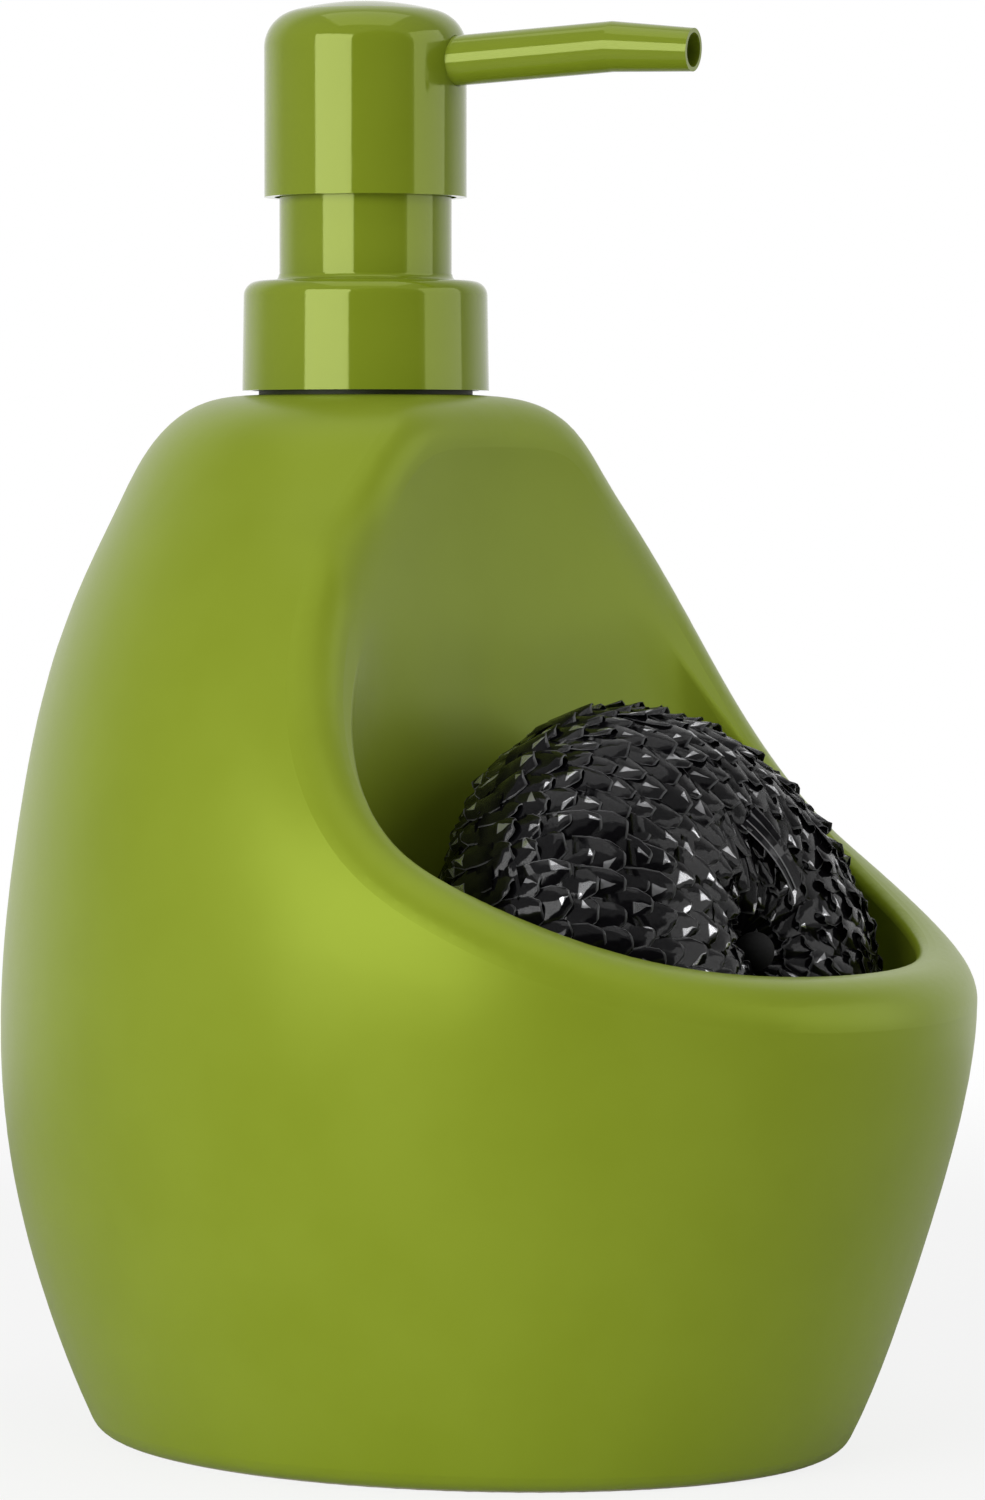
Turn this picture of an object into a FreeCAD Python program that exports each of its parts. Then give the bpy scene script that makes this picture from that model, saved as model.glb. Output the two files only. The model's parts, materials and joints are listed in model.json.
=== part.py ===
import FreeCAD, Part
import math
import os

# Soap pump caddy: a one-piece ceramic vessel with a soap reservoir and a scooped front pocket,
# a lotion pump that screws on to its neck, and a knitted scrubber that stands in the pocket.
# Millimetres. The origin is the foot of the pump axis on the table, +Z is up and the pocket faces -Y.
# "Forward" is a distance from the pump axis towards the pocket, so it is minus Y.

# Clearances
CUT_OVERRUN = 5.0  # how far a cutting tool runs past the face that it cuts
SEAT_GAP = 0.05  # between pieces that are pressed, snapped or glued together
SLIDE_GAP = 0.10  # radial, between pieces that slide or turn on each other
FREE_GAP = 0.3  # between pieces that only come close

# Ceramic vessel
BODY_HEIGHT = 141.4
BELLY_HALF_DEPTH = 69.6
BELLY_HALF_WIDTH = 58.0
BELLY_FORWARD = 19.8  # how far the belly's centre stands in front of the pump axis
SHOULDER_DEPTH = 8.6  # from where the shoulder starts to turn over up to the flat round the mouth
SHOULDER_FLAT_RADIUS = 15.0
BASE_EDGE_RADIUS = 4.0
FOOT_RING_WIDTH = 7.0
FOOT_RECESS_DEPTH = 1.5
RESERVOIR_WALL = 5.5
OVAL_POINTS = 16  # points on each oval section
# Oval sections up to the shoulder: shares of the height, half depth, half width and belly forward
OVAL_SECTION_SHARES = [
    (0.000, 0.764, 0.774, 0.874),
    (0.110, 0.866, 0.867, 0.874),
    (0.272, 0.964, 0.964, 0.914),
    (0.427, 1.000, 1.000, 1.000),
    (0.569, 0.922, 0.986, 0.889),
    (0.657, 0.816, 0.936, 0.657),
    (0.767, 0.682, 0.828, 0.394),
    (0.873, 0.530, 0.676, 0.172),
]
SHOULDER_OVAL_SHARES = (0.440, 0.560, 0.061)  # half depth, half width and belly forward
# Sections of the shoulder: shares of its depth, and of the way from its flat to its oval
SHOULDER_SECTION_SHARES = [(0.00, 1.00), (0.50, 0.78), (0.84, 0.50), (1.00, 0.00)]

# Scoop and pocket in the vessel's front
PANEL_FORWARD = 21.9  # the scoop's upright panel, half way up
LIP_HEIGHT = 66.6
LIP_WALL = 8.0
SCOOP_SWEEP_RADIUS = 300.0  # the scoop is slightly hollow across, about an upright axis in front
RIM_RADIUS = 6.4
LIP_INNER_RADIUS = 1.4
POCKET_FLOOR_HEIGHT = 26.4
POCKET_FLOOR_RADIUS = 7.0
# Rim of the scoop in side view: shares of the way from panel to lip, and from lip to shoulder
RIM_SHARES = [
    (0.031, 1.040),
    (0.000, 0.759),
    (0.025, 0.565),
    (0.090, 0.380),
    (0.230, 0.222),
    (0.360, 0.151),
    (0.550, 0.075),
    (0.703, 0.029),
    (1.084, 0.000),
]
# Rear wall of the pocket, at each oval section from the second up: share of the way from panel to lip
POCKET_REAR_SHARES = [0.118, 0.076, 0.050, 0.036, 0.031, 0.026, 0.036]
# Half of the pocket's plan: shares of its depth from the rear wall, and of its half width
POCKET_PLAN_SHARES = [
    (0.000, 0.00),
    (0.010, 0.40),
    (0.030, 0.69),
    (0.095, 0.905),
    (0.250, 1.00),
    (0.500, 0.90),
    (0.767, 0.666),
    (0.933, 0.37),
    (1.000, 0.00),
]
POCKET_WIDTH_SHARE = 0.96  # of the vessel's width inside the lip wall

# Neck adapter, glued into the vessel's mouth
MOUTH_RADIUS = 13.0
ADAPTER_BORE_RADIUS = 10.6
ADAPTER_SKIRT_DEPTH = 12.0
ADAPTER_FLANGE_RADIUS = 14.6
ADAPTER_FLANGE_THICKNESS = 1.2
ADAPTER_FINISH_RADIUS = 12.9
ADAPTER_FINISH_HEIGHT = 9.0

# Collar: a threaded closure ring inside a glossy shell
GASKET_THICKNESS = 1.0
THREAD_GAP = 0.3
CLOSURE_TOP_THICKNESS = 1.2
COLLAR_RADIUS = 16.85
COLLAR_DRAFT = 0.25  # how much narrower the collar is at its top
COLLAR_HEIGHT = 14.9
COLLAR_WALL = 1.1
COLLAR_EDGE_RADIUS = 2.0
COLLAR_FLARE_RADIUS = 0.9  # hollow flare round the sleeve

# Pump housing, hung in the neck by its flange
HOUSING_FLANGE_RADIUS = 12.7
HOUSING_FLANGE_THICKNESS = 1.1
HOUSING_RADIUS = 8.4
HOUSING_BORE_RADIUS = 7.0
HOUSING_DEPTH = 54.0  # from the flange's top to the ledge under the spring
VALVE_CHAMBER_RADIUS = 3.2
VALVE_CHAMBER_DEPTH = 4.6
INLET_RADIUS = 1.5
INLET_LENGTH = 3.0
TAIL_WALL = 1.3
TAIL_SOCKET_DEPTH = 11.0
BALL_RADIUS = 2.5
CAGE_THICKNESS = 1.4
CAGE_BORE_RADIUS = 1.9

# Dip tube
TUBE_RADIUS = 2.8
TUBE_BORE_RADIUS = 1.9
TUBE_FLOOR_GAP = 3.0
TUBE_TIP_SLANT_DEG = 35.0

# Sleeve and chaplet above the flange
SLEEVE_RADIUS = 11.75
SLEEVE_WALL = 0.8
SLEEVE_FOOT_THICKNESS = 0.8
SLEEVE_HEIGHT = 17.0
CHAPLET_FLANGE_RADIUS = 10.6
CHAPLET_FLANGE_THICKNESS = 1.2
CHAPLET_PLUG_DEPTH = 9.0
CHAPLET_TOWER_RADIUS = 5.6
CHAPLET_TOWER_HEIGHT = 10.0

# Plunger: stem, piston, valve plug and spring
STEM_RADIUS = 4.0
STEM_BORE_RADIUS = 2.6
STEM_SOCKET_DEPTH = 8.6
PISTON_LAG = 1.0  # lost motion of the piston on the stem, which opens the outlet ports
PISTON_HEIGHT = 8.0
PISTON_LIP_HEIGHT = 1.6
PISTON_WAIST_DEPTH = 0.7
PLUG_FLANGE_RADIUS = 5.6
PLUG_FLANGE_THICKNESS = 1.8
PLUG_NECK_HEIGHT = 1.8
PLUG_SHANK_HEIGHT = 9.0
PLUG_BORE_RADIUS = 1.5
PLUG_PORT_RADIUS = 0.6
PLUG_TAIL_RADIUS = 3.2
PLUG_TAIL_LENGTH = 9.0
SPRING_WIRE_RADIUS = 0.45
SPRING_COIL_RADIUS = 4.7
SPRING_TURNS = 9

# Pump head and nozzle
HEAD_RADIUS = 13.8
HEAD_HEIGHT = 26.6
HEAD_WALL = 1.4
HEAD_EDGE_RADIUS = 5.2
HEAD_CROWN_DEG = 15.0  # slope of the domed top where it runs into its rounded edge
HEAD_RISE = 11.4  # how far the head stands above the collar at rest
CORE_BLOCK_HEIGHT = 7.6
CORE_BLOCK_FALL = 13.2  # from the head's top down to the block's underside
CORE_BLOCK_EDGE_RADIUS = 3.4
CORE_BOSS_RADIUS = 6.4
CORE_BOSS_LENGTH = 6.6
CORE_POST_RADIUS = 3.5
NOZZLE_FALL = 8.4  # from the head's top down to the nozzle's axis at the head's wall
NOZZLE_RADIUS = 3.4
NOZZLE_WALL = 0.6
NOZZLE_TIP_RADIUS = 2.9
NOZZLE_ROOT_FORWARD = 6.8
NOZZLE_BEND_FORWARD = 36.5
NOZZLE_REACH = 48.2
NOZZLE_RISE_DEG = 3.2
NOZZLE_DROP_DEG = 3.6
NOZZLE_HEADING_DEG = 12.0  # how far the head is turned off the vessel's middle, towards +X

# Scrubber: a puff of knitted ribbon with a gathered dimple on each face
SCRUBBER_RADIUS = 38.0
SCRUBBER_HALF_THICKNESS = 19.2
SCRUBBER_TILT_DEG = 20.0  # how far its front face looks up
SCRUBBER_REAR_GAP = 0.8  # between its back and the pocket's rear wall
TIE_RADIUS = 1.2  # the cord that gathers the puff through its middle
TIE_KNOT_RADIUS = 2.6
# Half of the puff's profile: shares of its radius and of its half thickness
SCRUBBER_PROFILE_SHARES = [
    (0.00, 0.64),
    (0.10, 0.72),
    (0.24, 0.92),
    (0.42, 1.00),
    (0.66, 0.89),
    (0.88, 0.56),
    (1.00, 0.00),
]

# Heights that follow
ADAPTER_FLANGE_TOP = BODY_HEIGHT + ADAPTER_FLANGE_THICKNESS
FINISH_TOP = ADAPTER_FLANGE_TOP + ADAPTER_FINISH_HEIGHT
GASKET_TOP = FINISH_TOP + GASKET_THICKNESS
HOUSING_TOP = GASKET_TOP + HOUSING_FLANGE_THICKNESS
SLEEVE_FOOT_TOP = HOUSING_TOP + SLEEVE_FOOT_THICKNESS
CLOSURE_TOP = SLEEVE_FOOT_TOP + SEAT_GAP + CLOSURE_TOP_THICKNESS
COLLAR_TOP = CLOSURE_TOP + SEAT_GAP + COLLAR_WALL
COLLAR_BOTTOM = COLLAR_TOP - COLLAR_HEIGHT
SLEEVE_TOP = HOUSING_TOP + SLEEVE_HEIGHT
HEAD_BOTTOM = COLLAR_TOP + HEAD_RISE
HEAD_TOP = HEAD_BOTTOM + HEAD_HEIGHT
CORE_BLOCK_BOTTOM = HEAD_TOP - CORE_BLOCK_FALL
CORE_BLOCK_TOP = CORE_BLOCK_BOTTOM + CORE_BLOCK_HEIGHT
CORE_BOSS_BOTTOM = CORE_BLOCK_BOTTOM - CORE_BOSS_LENGTH
STEM_TOP = CORE_BOSS_BOTTOM + STEM_SOCKET_DEPTH
NOZZLE_HEIGHT = HEAD_TOP - NOZZLE_FALL
LEDGE_HEIGHT = HOUSING_TOP - HOUSING_DEPTH
CAGE_TOP = LEDGE_HEIGHT + CAGE_THICKNESS
CHAPLET_PLUG_BOTTOM = HOUSING_TOP - CHAPLET_PLUG_DEPTH
PISTON_TOP = CHAPLET_PLUG_BOTTOM - FREE_GAP - PISTON_LAG
PISTON_BOTTOM = PISTON_TOP - PISTON_HEIGHT
PLUG_FLANGE_TOP = PISTON_BOTTOM - SEAT_GAP
PLUG_FLANGE_BOTTOM = PLUG_FLANGE_TOP - PLUG_FLANGE_THICKNESS
STEM_BOTTOM = PLUG_FLANGE_TOP + PLUG_NECK_HEIGHT
SEAT_TOP = LEDGE_HEIGHT - VALVE_CHAMBER_DEPTH
SEAT_BOTTOM = SEAT_TOP - (VALVE_CHAMBER_RADIUS - INLET_RADIUS)
SOCKET_TOP = SEAT_BOTTOM - INLET_LENGTH
TAIL_BOTTOM = SOCKET_TOP - TAIL_SOCKET_DEPTH
RESERVOIR_FLOOR = FOOT_RECESS_DEPTH + RESERVOIR_WALL
RESERVOIR_CEILING = BODY_HEIGHT - SHOULDER_DEPTH

# Radii and reaches that follow
COLLAR_BORE_RADIUS = COLLAR_RADIUS - COLLAR_DRAFT - COLLAR_WALL
CLOSURE_RADIUS = COLLAR_BORE_RADIUS - SEAT_GAP
SLEEVE_HOLE_RADIUS = SLEEVE_RADIUS + SLIDE_GAP
HEAD_BORE_RADIUS = HEAD_RADIUS - HEAD_WALL
TUBE_SOCKET_RADIUS = TUBE_RADIUS + SEAT_GAP
LIP_FORWARD = BELLY_FORWARD + BELLY_HALF_DEPTH

UP = FreeCAD.Vector(0, 0, 1)
AHEAD = FreeCAD.Vector(0, -1, 0)
ORIGIN = FreeCAD.Vector(0, 0, 0)
SCOOP_AXIS = AHEAD * (PANEL_FORWARD + SCOOP_SWEEP_RADIUS)
TOLERANCE = 1e-3


def at(forward, height):
    """A point in the middle plane."""
    return FreeCAD.Vector(0, -forward, height)


def turned(profile):
    """A solid of revolution about the pump axis, from (radius, height) corners."""
    corners = [FreeCAD.Vector(radius, 0, height) for radius, height in profile]
    return Part.Face(Part.makePolygon(corners + corners[:1])).revolve(ORIGIN, UP, 360)


def ring(inner_radius, outer_radius, bottom, top):
    return turned([(inner_radius, bottom), (outer_radius, bottom), (outer_radius, top), (inner_radius, top)])


def rod(radius, start, end):
    """A round rod between two points."""
    return Part.makeCylinder(radius, (end - start).Length, start, end - start)


def round_edges(solid, radius, height):
    """The circular edges of a turned solid at this radius and height."""
    return [
        edge
        for edge in solid.Edges
        if isinstance(edge.Curve, Part.Circle)
        and abs(edge.Curve.Radius - radius) < TOLERANCE
        and abs(edge.Curve.Center.z - height) < TOLERANCE
    ]


def shared_edges(solid, first_form, second_form):
    """The edges of a solid that lie on the skins of two forms that it was cut from."""

    def lies_on(edge, form):
        start, end = edge.ParameterRange
        spots = [edge.valueAt(start + (end - start) * share) for share in (0.0, 0.3, 0.5, 0.8)]
        return all(Part.Vertex(spot).distToShape(form.Shells[0])[0] < TOLERANCE for spot in spots)

    return [edge for edge in solid.Edges if lies_on(edge, first_form) and lies_on(edge, second_form)]


def closed_curve(points):
    curve = Part.BSplineCurve()
    curve.interpolate(points, PeriodicFlag=True)
    return Part.Wire([curve.toShape()])


def oval(half_width, half_depth, forward, height):
    """An oval wire across the vessel, with its seam at the back."""
    angles = [2 * math.pi * step / OVAL_POINTS for step in range(OVAL_POINTS)]
    return closed_curve([
        FreeCAD.Vector(half_width * math.sin(angle), half_depth * math.cos(angle) - forward, height)
        for angle in angles
    ])


def vessel_form(inset):
    """The vessel's smooth outer form, with every section drawn in by the inset."""
    sections = []
    for height_share, depth_share, width_share, forward_share in OVAL_SECTION_SHARES:
        half_width = BELLY_HALF_WIDTH * width_share - inset
        half_depth = BELLY_HALF_DEPTH * depth_share - inset
        sections.append(oval(half_width, half_depth, BELLY_FORWARD * forward_share, BODY_HEIGHT * height_share))
    depth_share, width_share, forward_share = SHOULDER_OVAL_SHARES
    width_spread = BELLY_HALF_WIDTH * width_share - SHOULDER_FLAT_RADIUS
    depth_spread = BELLY_HALF_DEPTH * depth_share - SHOULDER_FLAT_RADIUS
    for rise_share, spread_share in SHOULDER_SECTION_SHARES:
        half_width = SHOULDER_FLAT_RADIUS + width_spread * spread_share - inset
        half_depth = SHOULDER_FLAT_RADIUS + depth_spread * spread_share - inset
        forward = BELLY_FORWARD * forward_share * spread_share
        sections.append(oval(half_width, half_depth, forward, BODY_HEIGHT - SHOULDER_DEPTH * (1 - rise_share)))
    return Part.makeLoft(sections, True, False)


def slab(bottom, top):
    """Everything between two heights, wider than the vessel."""
    reach = LIP_FORWARD + BELLY_HALF_DEPTH
    box = Part.makeBox(reach + reach, reach + reach, top - bottom)
    box.translate(FreeCAD.Vector(-reach, -reach, bottom))
    return box


def side_points(shares, low, high, setback=0):
    """Side-view points from shares of the way from panel to lip and from one height to another."""
    run = LIP_FORWARD - PANEL_FORWARD
    rise = high - low
    return [at(PANEL_FORWARD + run * ahead - setback, low + rise * up) for ahead, up in shares]


def swept_front(points):
    """What lies in front of a side-view curve, swept about the scoop's upright axis."""
    curve = Part.BSplineCurve()
    curve.interpolate(points)
    top = SCOOP_AXIS + UP * points[0].z
    foot = SCOOP_AXIS + UP * points[-1].z
    outline = [
        curve.toShape(),
        Part.makeLine(points[-1], foot),
        Part.makeLine(foot, top),
        Part.makeLine(top, points[0]),
    ]
    front = Part.Face(Part.Wire(outline)).revolve(SCOOP_AXIS, UP, 360)
    front.rotate(SCOOP_AXIS, UP, 180)
    return front


def pocket_plan(half_width, rear, front, height):
    """A level outline of the pocket: a flat rear, rounded rear corners and an oval front."""
    depth = front - rear
    right = [(half_width * out, rear + depth * ahead) for ahead, out in POCKET_PLAN_SHARES]
    left = [(-across, forward) for across, forward in reversed(right[1:-1])]
    return closed_curve([FreeCAD.Vector(across, -forward, height) for across, forward in right + left])


def rear_wall():
    """The pocket's rear wall in the middle plane, from its foot up."""
    run = LIP_FORWARD - PANEL_FORWARD
    return [
        at(PANEL_FORWARD + run * rear_share, BODY_HEIGHT * oval_shares[0])
        for rear_share, oval_shares in zip(POCKET_REAR_SHARES, OVAL_SECTION_SHARES[1:])
    ]


def pocket_form():
    """The free space of the pocket, with a rounded floor."""
    plans = []
    for rear, oval_shares in zip(rear_wall(), OVAL_SECTION_SHARES[1:]):
        _, depth_share, width_share, forward_share = oval_shares
        half_width = (BELLY_HALF_WIDTH * width_share - LIP_WALL) * POCKET_WIDTH_SHARE
        front = BELLY_FORWARD * forward_share + BELLY_HALF_DEPTH * depth_share - LIP_WALL
        plans.append(pocket_plan(half_width, -rear.y, front, rear.z))
    pocket = Part.makeLoft(plans, True, False).common(slab(POCKET_FLOOR_HEIGHT, BODY_HEIGHT))
    floor = [edge for edge in pocket.Edges if edge.BoundBox.ZMax < POCKET_FLOOR_HEIGHT + TOLERANCE]
    return pocket.makeFillet(POCKET_FLOOR_RADIUS, floor)


def reservoir_form():
    """The soap space: behind the panel, under the pocket and up into the mouth."""
    inner = vessel_form(RESERVOIR_WALL).common(slab(RESERVOIR_FLOOR, RESERVOIR_CEILING))
    foot, *wall = rear_wall()
    behind_wall = [spot - AHEAD * RESERVOIR_WALL for spot in reversed(wall[:4])]
    under_floor = at(-foot.y - RESERVOIR_WALL, POCKET_FLOOR_HEIGHT - RESERVOIR_WALL)
    behind_panel = side_points(RIM_SHARES[:2], LIP_HEIGHT, BODY_HEIGHT, RESERVOIR_WALL)
    front = swept_front(behind_panel + behind_wall + [under_floor])
    mouth = rod(MOUTH_RADIUS, at(0, RESERVOIR_CEILING - RESERVOIR_WALL), at(0, BODY_HEIGHT + CUT_OVERRUN))
    return inner.cut(front).fuse(mouth)


def foot_recess():
    """The shallow hollow inside the foot ring."""
    _, depth_share, width_share, forward_share = OVAL_SECTION_SHARES[0]
    inset = BASE_EDGE_RADIUS + FOOT_RING_WIDTH
    outline = oval(
        BELLY_HALF_WIDTH * width_share - inset,
        BELLY_HALF_DEPTH * depth_share - inset,
        BELLY_FORWARD * forward_share,
        0,
    )
    return Part.Face(outline).extrude(UP * FOOT_RECESS_DEPTH)


def ceramic_body():
    form = vessel_form(0)
    form = form.makeFillet(BASE_EDGE_RADIUS, [edge for edge in form.Edges if edge.BoundBox.ZMax < TOLERANCE])
    scoop = swept_front(side_points(RIM_SHARES, LIP_HEIGHT, BODY_HEIGHT))
    body = form.cut(scoop)
    body = body.makeFillet(RIM_RADIUS, shared_edges(body, form, scoop))
    pocket = pocket_form()
    body = body.cut(pocket)
    body = body.makeFillet(LIP_INNER_RADIUS, shared_edges(body, scoop, pocket))
    return body.cut(reservoir_form()).cut(foot_recess())


def neck_adapter():
    skirt_radius = MOUTH_RADIUS - SEAT_GAP
    skirt_bottom = BODY_HEIGHT - ADAPTER_SKIRT_DEPTH
    return turned([
        (ADAPTER_BORE_RADIUS, skirt_bottom),
        (skirt_radius, skirt_bottom),
        (skirt_radius, BODY_HEIGHT),
        (ADAPTER_FLANGE_RADIUS, BODY_HEIGHT),
        (ADAPTER_FLANGE_RADIUS, ADAPTER_FLANGE_TOP),
        (ADAPTER_FINISH_RADIUS, ADAPTER_FLANGE_TOP),
        (ADAPTER_FINISH_RADIUS, FINISH_TOP),
        (ADAPTER_BORE_RADIUS, FINISH_TOP),
    ])


def neck_gasket():
    return ring(HOUSING_RADIUS + FREE_GAP, HOUSING_FLANGE_RADIUS, FINISH_TOP, GASKET_TOP)


def closure_ring():
    bottom = ADAPTER_FLANGE_TOP + FREE_GAP
    thread_radius = ADAPTER_FINISH_RADIUS + THREAD_GAP
    plate_bottom = CLOSURE_TOP - CLOSURE_TOP_THICKNESS
    return turned([
        (thread_radius, bottom),
        (CLOSURE_RADIUS, bottom),
        (CLOSURE_RADIUS, CLOSURE_TOP),
        (SLEEVE_HOLE_RADIUS, CLOSURE_TOP),
        (SLEEVE_HOLE_RADIUS, plate_bottom),
        (thread_radius, plate_bottom),
    ])


def collar_shell():
    top_radius = COLLAR_RADIUS - COLLAR_DRAFT
    plate_bottom = COLLAR_TOP - COLLAR_WALL
    flare_radius = SLEEVE_HOLE_RADIUS + COLLAR_FLARE_RADIUS
    shell = turned([
        (COLLAR_BORE_RADIUS, COLLAR_BOTTOM),
        (COLLAR_RADIUS, COLLAR_BOTTOM),
        (top_radius, COLLAR_TOP),
        (SLEEVE_HOLE_RADIUS, COLLAR_TOP),
        (SLEEVE_HOLE_RADIUS, plate_bottom),
        (COLLAR_BORE_RADIUS, plate_bottom),
    ])
    shell = shell.makeFillet(COLLAR_EDGE_RADIUS, round_edges(shell, top_radius, COLLAR_TOP))
    flare = ring(SLEEVE_HOLE_RADIUS, flare_radius, COLLAR_TOP, COLLAR_TOP + COLLAR_FLARE_RADIUS)
    hollow = Part.makeTorus(flare_radius, COLLAR_FLARE_RADIUS, at(0, COLLAR_TOP + COLLAR_FLARE_RADIUS), UP)
    return shell.fuse(flare.cut(hollow))


def sleeve():
    bore = SLEEVE_RADIUS - SLEEVE_WALL
    return turned([
        (bore, HOUSING_TOP),
        (HOUSING_FLANGE_RADIUS, HOUSING_TOP),
        (HOUSING_FLANGE_RADIUS, SLEEVE_FOOT_TOP),
        (SLEEVE_RADIUS, SLEEVE_FOOT_TOP),
        (SLEEVE_RADIUS, SLEEVE_TOP),
        (bore, SLEEVE_TOP),
    ])


def chaplet():
    guide = STEM_RADIUS + SLIDE_GAP
    plug_radius = HOUSING_BORE_RADIUS - SEAT_GAP
    flange_top = HOUSING_TOP + CHAPLET_FLANGE_THICKNESS
    tower_top = HOUSING_TOP + CHAPLET_TOWER_HEIGHT
    return turned([
        (guide, CHAPLET_PLUG_BOTTOM),
        (plug_radius, CHAPLET_PLUG_BOTTOM),
        (plug_radius, HOUSING_TOP),
        (CHAPLET_FLANGE_RADIUS, HOUSING_TOP),
        (CHAPLET_FLANGE_RADIUS, flange_top),
        (CHAPLET_TOWER_RADIUS, flange_top),
        (CHAPLET_TOWER_RADIUS, tower_top),
        (guide, tower_top),
    ])


def pump_housing():
    tail_radius = TUBE_SOCKET_RADIUS + TAIL_WALL
    return turned([
        (HOUSING_BORE_RADIUS, HOUSING_TOP),
        (HOUSING_FLANGE_RADIUS, HOUSING_TOP),
        (HOUSING_FLANGE_RADIUS, GASKET_TOP),
        (HOUSING_RADIUS, GASKET_TOP),
        (HOUSING_RADIUS, LEDGE_HEIGHT),
        (tail_radius, LEDGE_HEIGHT - (HOUSING_RADIUS - tail_radius)),
        (tail_radius, TAIL_BOTTOM),
        (TUBE_SOCKET_RADIUS, TAIL_BOTTOM),
        (TUBE_SOCKET_RADIUS, SOCKET_TOP),
        (INLET_RADIUS, SOCKET_TOP),
        (INLET_RADIUS, SEAT_BOTTOM),
        (VALVE_CHAMBER_RADIUS, SEAT_TOP),
        (VALVE_CHAMBER_RADIUS, LEDGE_HEIGHT),
        (HOUSING_BORE_RADIUS, LEDGE_HEIGHT),
    ])


def ball_cage():
    return ring(CAGE_BORE_RADIUS, HOUSING_BORE_RADIUS - SEAT_GAP, LEDGE_HEIGHT, CAGE_TOP)


def inlet_ball():
    # The seat's cone slopes at 45 degrees, so the ball touches it at 45 degrees below its middle
    centre = SEAT_BOTTOM - INLET_RADIUS + BALL_RADIUS * math.sqrt(2) + SEAT_GAP
    return Part.makeSphere(BALL_RADIUS, at(0, centre))


def dip_tube():
    bottom = RESERVOIR_FLOOR + TUBE_FLOOR_GAP
    tube = ring(TUBE_BORE_RADIUS, TUBE_RADIUS, bottom, SOCKET_TOP)
    rise = TUBE_RADIUS * math.tan(math.radians(TUBE_TIP_SLANT_DEG))
    edge = TUBE_RADIUS + CUT_OVERRUN
    slant = [at(edge, bottom), at(TUBE_RADIUS, bottom), at(-TUBE_RADIUS, bottom + rise + rise)]
    slant += [at(-edge, bottom + rise + rise), at(-edge, bottom - edge), at(edge, bottom - edge)]
    tip = Part.Face(Part.makePolygon(slant + slant[:1])).extrude(FreeCAD.Vector(edge + edge, 0, 0))
    tip.translate(FreeCAD.Vector(-edge, 0, 0))
    return tube.cut(tip)


def stem():
    return ring(STEM_BORE_RADIUS, STEM_RADIUS, STEM_BOTTOM, STEM_TOP)


def piston():
    bore = STEM_RADIUS + SLIDE_GAP
    lip_radius = HOUSING_BORE_RADIUS - SLIDE_GAP
    waist_radius = lip_radius - PISTON_WAIST_DEPTH
    return turned([
        (bore, PISTON_BOTTOM),
        (lip_radius, PISTON_BOTTOM),
        (lip_radius, PISTON_BOTTOM + PISTON_LIP_HEIGHT),
        (waist_radius, PISTON_BOTTOM + PISTON_LIP_HEIGHT + PISTON_WAIST_DEPTH),
        (waist_radius, PISTON_TOP - PISTON_LIP_HEIGHT - PISTON_WAIST_DEPTH),
        (lip_radius, PISTON_TOP - PISTON_LIP_HEIGHT),
        (lip_radius, PISTON_TOP),
        (bore, PISTON_TOP),
    ])


def valve_plug():
    shank_radius = STEM_BORE_RADIUS - SEAT_GAP
    shank_top = STEM_BOTTOM + PLUG_SHANK_HEIGHT
    tail_bottom = PLUG_FLANGE_BOTTOM - PLUG_TAIL_LENGTH
    plug = turned([
        (0, tail_bottom),
        (PLUG_TAIL_RADIUS, tail_bottom),
        (PLUG_TAIL_RADIUS, PLUG_FLANGE_BOTTOM),
        (PLUG_FLANGE_RADIUS, PLUG_FLANGE_BOTTOM),
        (PLUG_FLANGE_RADIUS, PLUG_FLANGE_TOP),
        (shank_radius, PLUG_FLANGE_TOP),
        (shank_radius, shank_top),
        (PLUG_BORE_RADIUS, shank_top),
        (PLUG_BORE_RADIUS, PLUG_FLANGE_TOP),
        (0, PLUG_FLANGE_TOP),
    ])
    port_height = (PLUG_FLANGE_TOP + STEM_BOTTOM) / 2
    for across in (FreeCAD.Vector(STEM_RADIUS, 0, 0), FreeCAD.Vector(0, STEM_RADIUS, 0)):
        plug = plug.cut(rod(PLUG_PORT_RADIUS, at(0, port_height) - across, at(0, port_height) + across))
    return plug


def arc_along(start, heading, end):
    """An arc that leaves its start along a unit heading and runs to its end."""
    chord = end - start
    along = FreeCAD.Vector(chord).normalize()
    aside = heading - along * heading.dot(along)
    turn = math.atan2(aside.Length, heading.dot(along))
    bulge = aside.normalize() * (chord.Length / 2 * math.tan(turn / 2))
    return Part.Arc(start, start + chord / 2 + bulge, end).toShape()


def biarc(start, heading, end, end_heading):
    """Two arcs that join two points smoothly along the headings given at each."""
    chord = end - start
    lean = chord.dot(heading + end_heading)
    spread = 1 - heading.dot(end_heading)
    reach = (math.sqrt(lean * lean + 2 * spread * chord.dot(chord)) - lean) / (2 * spread)
    joint = (start + end + (heading - end_heading) * reach) / 2
    joint_heading = (end - end_heading * reach - start - heading * reach).normalize()
    return [arc_along(start, heading, joint), arc_along(joint, joint_heading, end)]


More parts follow.
